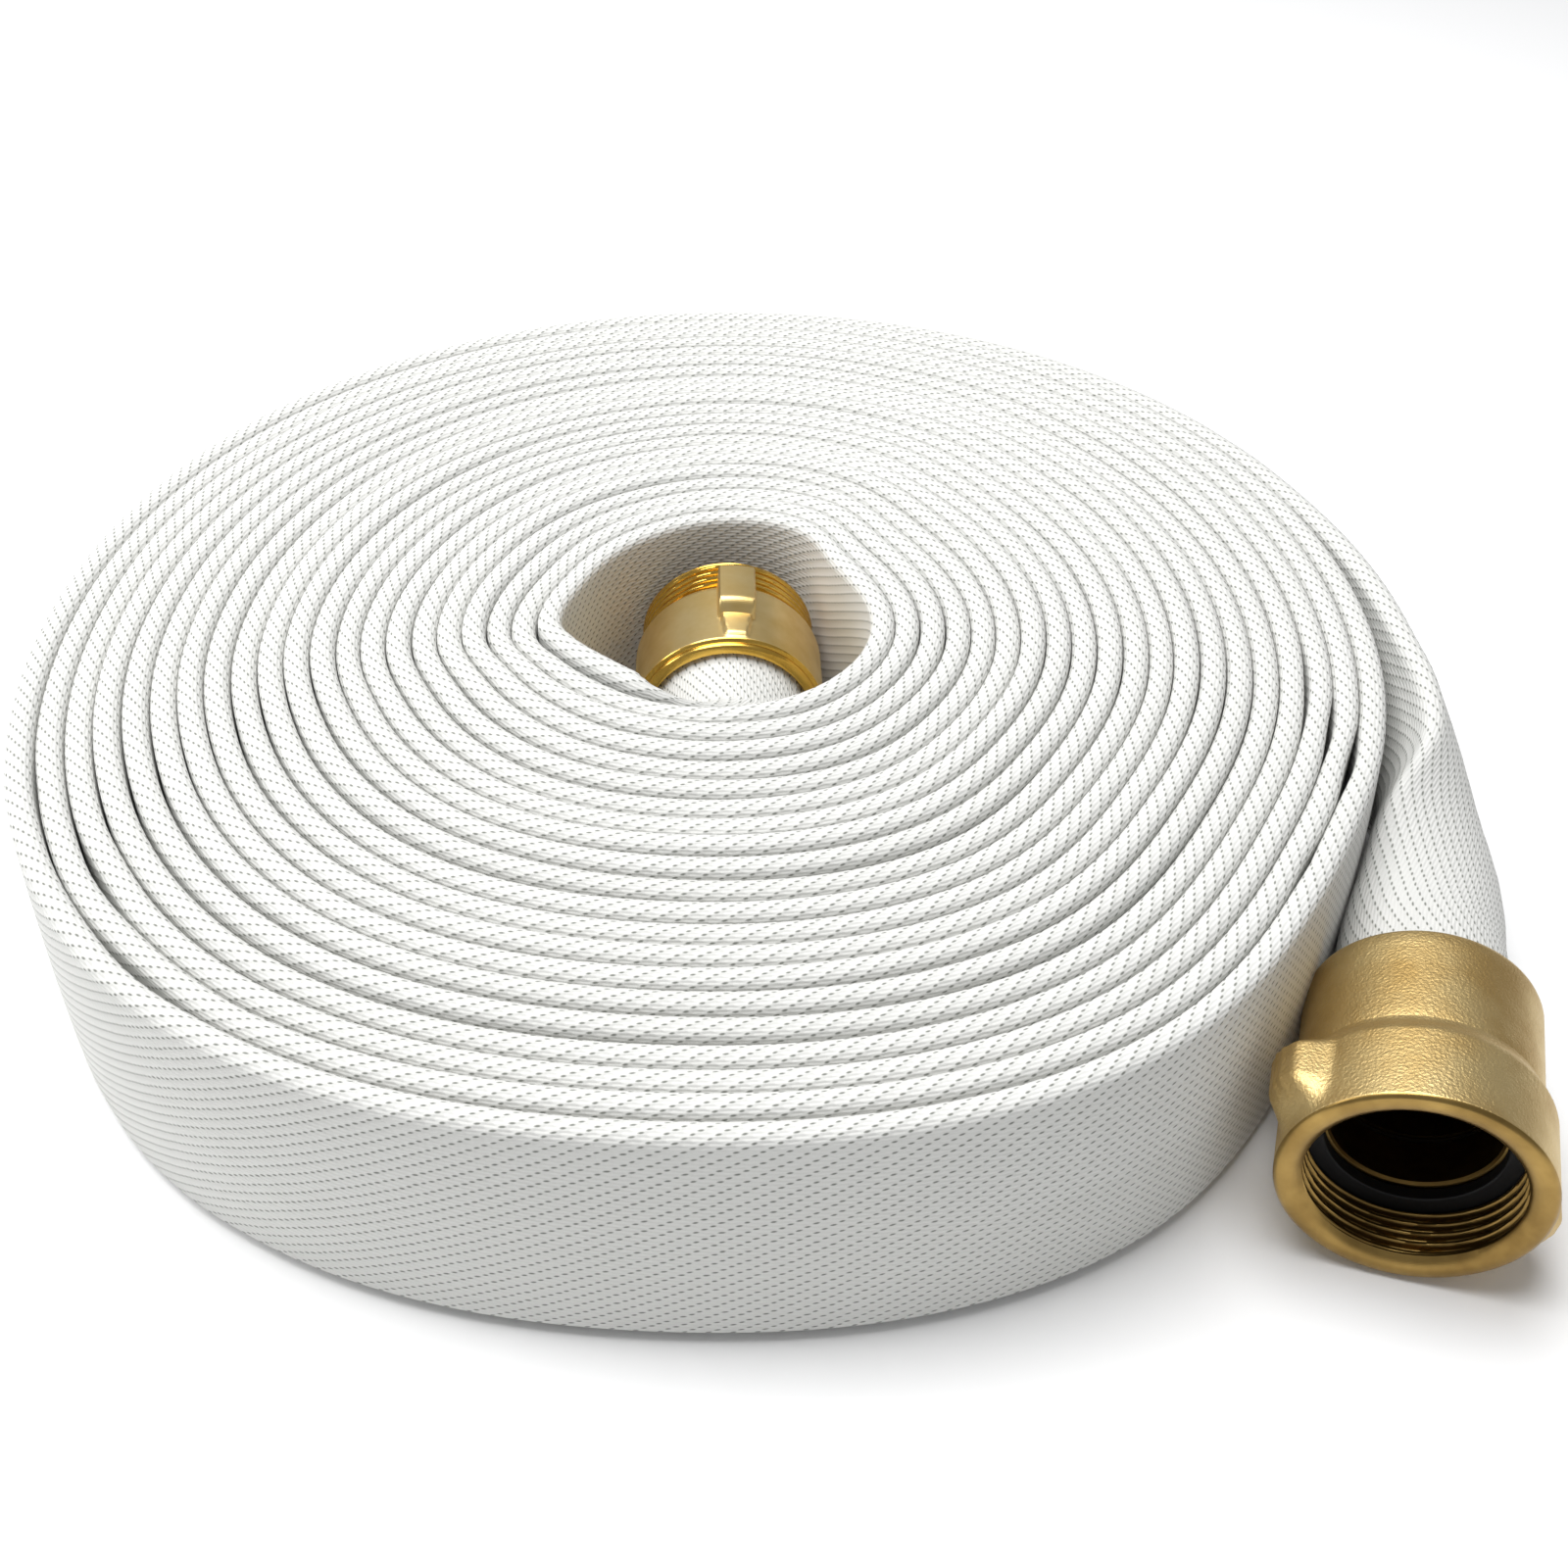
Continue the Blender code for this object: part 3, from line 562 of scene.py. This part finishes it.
def thread_depth(angle, height, high, low):
    """Share of a right-hand thread's depth, 0 on its crest and 1 at its root, faded at both ends."""
    turn = (height / THREAD_PITCH - angle / 360.0) % 1.0
    flank = np.abs(turn - 0.5) * 2
    depth = smooth_step(flank, 0.22, 0.80)
    return depth * smooth_step(height, low, low + 0.0012) * (1 - smooth_step(height, high - 0.0012, high))


def place_on(piece, matrix, materials, angle=35):
    """Moves a finished piece's mesh to its place and gives it its materials."""
    for finish in materials:
        piece.data.materials.append(finish)
    piece.data.transform(matrix)
    bpy.ops.object.select_all(action="DESELECT")
    piece.select_set(True)
    bpy.context.view_layer.objects.active = piece
    bpy.ops.object.shade_smooth_by_angle(angle=math.radians(angle))
    return piece


def machined_faces(piece, is_machined):
    """Gives the second material to faces that the lathe has cut: is_machined(radius, height)."""
    for face in piece.data.polygons:
        radius = math.hypot(face.center.x, face.center.y)
        if is_machined(radius, face.center.z):
            face.material_index = 1


def brass(name, roughness, light, dark, grain, relief, fineness, axis=None, rings=0.0):
    """Brass: yellow metal, mottled between two tones, with a grain of the given size and relief, and
    a lathe tool's rings about an axis where their spacing is given."""
    made, tree, shader = finish_material(name, roughness, 1.0)
    place = node(tree, "TexCoord").outputs["Object"]
    blotches = node(tree, "TexNoise", {"Vector": place, "Scale": 45.0, "Detail": 4.0, "Roughness": 0.6})
    spread = node(tree, "MapRange", {0: blotches.outputs[0], 1: 0.36, 2: 0.66})
    tone = node(tree, "Mix", {0: spread.outputs[0], 6: linear(light), 7: linear(dark)}, data_type="RGBA")
    sand = node(tree, "TexNoise", {"Vector": place, "Scale": 1.0 / grain, "Detail": 2.0, "Roughness": 0.55})
    height = sand.outputs[0]
    if rings:
        centred = node(tree, "Mapping", {0: place, 1: axis.inverted().to_translation(),
                                         2: axis.inverted().to_euler()}).outputs[0]
        apart = node(tree, "SeparateXYZ", {0: centred})
        flat = node(tree, "CombineXYZ", {0: apart.outputs[0], 1: apart.outputs[1]}).outputs[0]
        reach = node(tree, "VectorMath", {0: flat}, operation="LENGTH").outputs["Value"]
        both = node(tree, "Math", {0: reach, 1: apart.outputs[2]}, operation="ADD").outputs[0]
        tool = node(tree, "Math", {0: both, 1: 2 * math.pi / rings}, operation="MULTIPLY").outputs[0]
        ridges = node(tree, "Math", {0: tool}, operation="SINE").outputs[0]
        height = node(tree, "Math", {0: ridges, 1: 0.35, 2: height}, operation="MULTIPLY_ADD").outputs[0]
    bump = node(tree, "Bump", {"Strength": relief, "Distance": fineness, "Height": height})
    polish = node(tree, "MapRange", {0: blotches.outputs[0], 3: roughness - 0.06, 4: roughness + 0.10})
    tree.links.new(tone.outputs[2], shader.inputs["Base Color"])
    tree.links.new(polish.outputs[0], shader.inputs["Roughness"])
    tree.links.new(bump.outputs[0], shader.inputs["Normal"])
    return made


# Sand-cast and tumbled: a dull gold with a grain under a millimetre across, in soft relief.
CAST = brass("sand_cast_brass", 0.46, "#D3BB85", "#BA9C63", 0.00075, 0.75, 0.00028)
# Cut on a lathe: smoother, darker and browner, with the tool's fine rings.
CUT = brass("machined_brass", 0.30, "#AA8C51", "#7D6336", 0.0016, 0.25, 0.00005,
            axis=FEMALE_AXIS, rings=0.00045)

SWIVEL_RADIUS, SWIVEL_LENGTH, LUG_CROWN = 0.0300, 0.0265, 0.0360
NECK_RADIUS, RACE_Z, BALL_RADIUS = 0.0251, -0.0226, 0.00238
CREST, ROOT = 0.02375, 0.0254
THREAD_TOP, THREAD_END = -0.0018, -0.0140
FEMALE_LUGS = (65.0, 245.0)                      # bearings about the axis, from straight up
LUG_FLAT, LUG_FOOT = 0.0036, 0.0108              # half widths of a lug's crown and of its foot
RACE_RADIUS, RACE_MIDDLE = BALL_RADIUS + 0.00012, NECK_RADIUS + GAP / 2
RACE_HALF, RACE_STEPS = 0.0026, 8
ON_THE_WALL = 1e-5                               # tolerance for telling a straight wall's points
profile = [(0.0288, 0.0), (0.0295, -0.0004)]
profile += rows_between(SWIVEL_RADIUS, -0.0009, -0.0202, 0.0005)
profile += [(0.02992, -0.0208), (0.0297, -0.0215), (0.0294, -0.0222), (0.0290, -0.0229), (0.0286, -0.0236),
            (0.0282, -0.0243), (0.0279, -0.0250), (0.0277, -0.0257), (0.0276, -SWIVEL_LENGTH)]
profile += [(NECK_RADIUS + GAP, -SWIVEL_LENGTH), (NECK_RADIUS + GAP, RACE_Z - RACE_HALF)]
for step in range(1, RACE_STEPS):
    turn = math.pi * step / RACE_STEPS
    profile.append((RACE_MIDDLE + RACE_RADIUS * math.sin(turn), RACE_Z - RACE_RADIUS * math.cos(turn)))
profile += [(NECK_RADIUS + GAP, RACE_Z + RACE_HALF), (NECK_RADIUS + GAP, -0.0148)]
profile += rows_between(CREST, THREAD_END, THREAD_TOP, THREAD_PITCH / 14)
profile += [(0.0246, -0.0010), (0.0261, 0.0)]
swivel = turned_blank("swivel_nut", profile, 360)
radius, angle, height = cylinder_coordinates(swivel)
bore = np.abs(radius - CREST) < ON_THE_WALL
radius[bore] += (ROOT - CREST) * thread_depth(angle, height, THREAD_TOP, THREAD_END)[bore]


def rocker_lug(angle, height, bearing, rise, at):
    """How far a lug stands out: a steep rear, a crown that slopes down to the rim, hollow flanks,
    and the two halves of the mould's parting line along it."""
    across = ((angle - bearing + 180.0) % 360.0 - 180.0) * math.pi / 180.0 * at
    side = 1 - smooth_step(np.abs(across), LUG_FLAT, LUG_FOOT)
    end = smooth_step(height, -0.0238, -0.0188) * (1 - smooth_step(height, -0.0105, -0.0006))
    crowning = 1 - 0.07 * (across / 0.0034) ** 2
    seams = 0.06 * (np.exp(-((across + 0.0008) / 0.0005) ** 2) + np.exp(-((across - 0.0012) / 0.0005) ** 2))
    return rise * side * end * np.clip(crowning + seams * (end > 0.5), 0.0, 1.1)


outer = (radius > np.where(height > -0.0245, 0.0280, 0.0272)) & (height < -0.0002)
for bearing in FEMALE_LUGS:
    radius[outer] += rocker_lug(angle, height, bearing, LUG_CROWN - SWIVEL_RADIUS, SWIVEL_RADIUS)[outer]
set_radii(swivel, radius, angle, height)
machined_faces(swivel, lambda r, z: z > -0.0008 or r < 0.0268)
place_on(swivel, FEMALE_AXIS, (CAST, CUT), 50)
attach(swivel, "swivel")
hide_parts("swivel")

# ---------------------------------------------------------------- female tailpiece
# The fixed half of the female coupling: a sand-cast bowl that the hose is clamped in, and a neck,
# turned with half of the ball race, that the swivel runs on.

BOWL_IN, BOWL_RADIUS, WATERWAY, NECK_FACE = 0.0229, 0.0274, 0.0192, -0.0186
rear = -FEMALE_LENGTH
front = -SWIVEL_LENGTH - GAP
profile = [(0.0206, NECK_FACE), (NECK_RADIUS - 0.0002, NECK_FACE), (NECK_RADIUS, NECK_FACE - 0.0002),
           (NECK_RADIUS, RACE_Z + RACE_HALF)]
for step in range(1, RACE_STEPS):
    turn = math.pi * step / RACE_STEPS
    profile.append((RACE_MIDDLE - RACE_RADIUS * math.sin(turn), RACE_Z + RACE_RADIUS * math.cos(turn)))
profile += [(NECK_RADIUS, RACE_Z - RACE_HALF), (NECK_RADIUS, front), (BOWL_RADIUS - 0.0001, front)]
profile += rows_between(BOWL_RADIUS, front - 0.0008, rear + 0.0016, 0.003)
profile += [(BOWL_RADIUS - 0.0003, rear + 0.0006), (BOWL_RADIUS - 0.0010, rear)]
profile += [(BOWL_IN + 0.0006, rear), (BOWL_IN, rear + 0.0006), (BOWL_IN, rear + BOWL_DEPTH),
            (WATERWAY, rear + BOWL_DEPTH), (WATERWAY, NECK_FACE - 0.0009), (0.0197, NECK_FACE - 0.0002)]
tailpiece = turned_blank("female_bowl", profile, 128)
machined_faces(tailpiece, lambda r, z: r < 0.0256)
place_on(tailpiece, FEMALE_AXIS, (CAST, CUT))
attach(tailpiece, "hose")
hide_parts("female_tailpiece")

# ---------------------------------------------------------------- hose washer
# A flat rubber ring that lies in the swivel against the neck, and seals on the mating thread's end.

profile = [(NECK_RADIUS - 0.0003, -0.0149), (NECK_RADIUS, -0.0152), (NECK_RADIUS, NECK_FACE + GAP + 0.0003),
           (NECK_RADIUS - 0.0003, NECK_FACE + GAP), (0.0203, NECK_FACE + GAP),
           (0.0200, NECK_FACE + GAP + 0.0003), (0.0200, -0.0152), (0.0203, -0.0149)]
washer = turned_blank("hose_washer", profile, 96)
rubber, tree, shader = finish_material("black_moulded_rubber", 0.6)
place = node(tree, "TexCoord").outputs["Object"]
bloom = node(tree, "TexNoise", {"Vector": place, "Scale": 300.0, "Detail": 3.0})
dust = node(tree, "Mix", {0: bloom.outputs[0], 6: linear("#060607"), 7: linear("#121213")},
            data_type="RGBA")
skin = node(tree, "Bump", {"Strength": 0.2, "Distance": 0.0001, "Height": bloom.outputs[0]})
tree.links.new(dust.outputs[2], shader.inputs["Base Color"])
tree.links.new(skin.outputs[0], shader.inputs["Normal"])
place_on(washer, FEMALE_AXIS, (rubber,))
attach(washer, "swivel")
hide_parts("thread_gasket")

# ---------------------------------------------------------------- what the bowls hold
# In each bowl the hose is squeezed outwards by a soft brass ring, expanded in place, over the
# rubber tube's end, and stands against a rubber tail gasket. The ball race has 3/16 in steel
# balls, put in through a plugged hole.

steel, tree, shader = finish_material("chrome_steel", 0.12, 1.0)
place = node(tree, "TexCoord").outputs["Object"]
haze = node(tree, "TexNoise", {"Vector": place, "Scale": 500.0, "Detail": 2.0})
bright = node(tree, "Mix", {0: haze.outputs[0], 6: linear("#D4D5D8"), 7: linear("#B9BABD")},
              data_type="RGBA")
tree.links.new(bright.outputs[2], shader.inputs["Base Color"])
for name, piece in frame["nodes"].items():
    if name.startswith("race_ball"):
        finish = steel
    elif name == "race_plug" or name.endswith("expansion_ring"):
        finish = CUT
    elif name.endswith("gasket") or name.endswith("lining"):
        finish = rubber
    else:
        continue
    piece.data.materials.clear()
    piece.data.materials.append(finish)

# ---------------------------------------------------------------- male coupling
# One casting, turned and then polished to a satin: the bowl, two lugs whose crowns run up to the
# thread, and a 1.5 in thread cut on its front.

MALE_RADIUS, MALE_LUG_CROWN = 0.0270, 0.0323
MALE_CREST, MALE_ROOT, THREAD_START = 0.02527, 0.0235, 0.0290
THREAD_FRONT = MALE_LENGTH - 0.0010
MALE_LUGS = (5.5, 185.5)
SATIN = brass("satin_brass", 0.36, "#EAD094", "#D2B26C", 0.0011, 0.20, 0.00006,
              axis=MALE_AXIS, rings=0.0007)
POLISHED = brass("polished_brass", 0.18, "#E6BE5E", "#CFA040", 0.0020, 0.15, 0.00004,
                 axis=MALE_AXIS, rings=0.0006)
profile = [(0.0231, MALE_LENGTH), (0.0240, MALE_LENGTH)]
profile += rows_between(MALE_CREST, THREAD_FRONT, THREAD_START, THREAD_PITCH / 14)
profile += [(0.0262, THREAD_START - 0.0008), (MALE_RADIUS - 0.0003, THREAD_START - 0.0018)]
profile += rows_between(MALE_RADIUS, THREAD_START - 0.0024, 0.0024, 0.0005)
profile += [(0.0267, 0.0020), (0.0259, 0.0017), (0.0259, 0.0010), (0.0256, 0.0005), (0.0250, 0.0)]
profile += [(BOWL_IN + 0.0004, 0.0), (BOWL_IN, 0.0006), (BOWL_IN, BOWL_DEPTH), (WATERWAY, BOWL_DEPTH),
            (WATERWAY, MALE_LENGTH - 0.0006), (WATERWAY + 0.0006, MALE_LENGTH)]
male = turned_blank("male_coupling_body", profile, 360)
radius, angle, height = cylinder_coordinates(male)
threaded = np.abs(radius - MALE_CREST) < ON_THE_WALL
depth = thread_depth(angle, height, THREAD_FRONT, THREAD_START)
radius[threaded] -= (MALE_CREST - MALE_ROOT) * depth[threaded]

# Each lug is a flat crown that ends at the thread, over a low pad that narrows towards the bowl.
body = (radius > MALE_ROOT - 0.0002) & (height > 0.0020)
for bearing in MALE_LUGS:
    across = np.abs((angle - bearing + 180.0) % 360.0 - 180.0) * math.pi / 180.0 * MALE_RADIUS
    side = 1 - smooth_step(across, 0.0042, 0.0054)
    shoulder = np.clip((height - 0.0120) / 0.0032, 0.0, 1.0)
    crown = np.sqrt(1 - (1 - shoulder) ** 2) * (1 - smooth_step(height, 0.0302, 0.0308))
    pad = smooth_step(height, 0.0028, 0.0042) * (1 - smooth_step(height, 0.0300, 0.0306))
    pad_half = np.interp(height, (0.003, 0.012), (0.0024, 0.0036))
    pad_side = 1 - smooth_step(across, pad_half, pad_half + 0.0011)
    crown_rise = (MALE_LUG_CROWN - MALE_RADIUS) * crown * side
    pad_rise = (0.0010 + 0.10 * (height - 0.004)) * pad * pad_side
    outwards = MALE_RADIUS + np.maximum(crown_rise, pad_rise)
    lift = body & (np.maximum(crown * side, pad * pad_side) > 0.001)
    radius[lift] = np.maximum(radius, outwards)[lift]
set_radii(male, radius, angle, height)
machined_faces(
    male, lambda r, z: z > THREAD_START - 0.0006 and r < 0.0268 or z < 0.0022 or r < 0.0232)
place_on(male, MALE_AXIS, (SATIN, POLISHED), 45)
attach(male, "hose")
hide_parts("male_coupling")
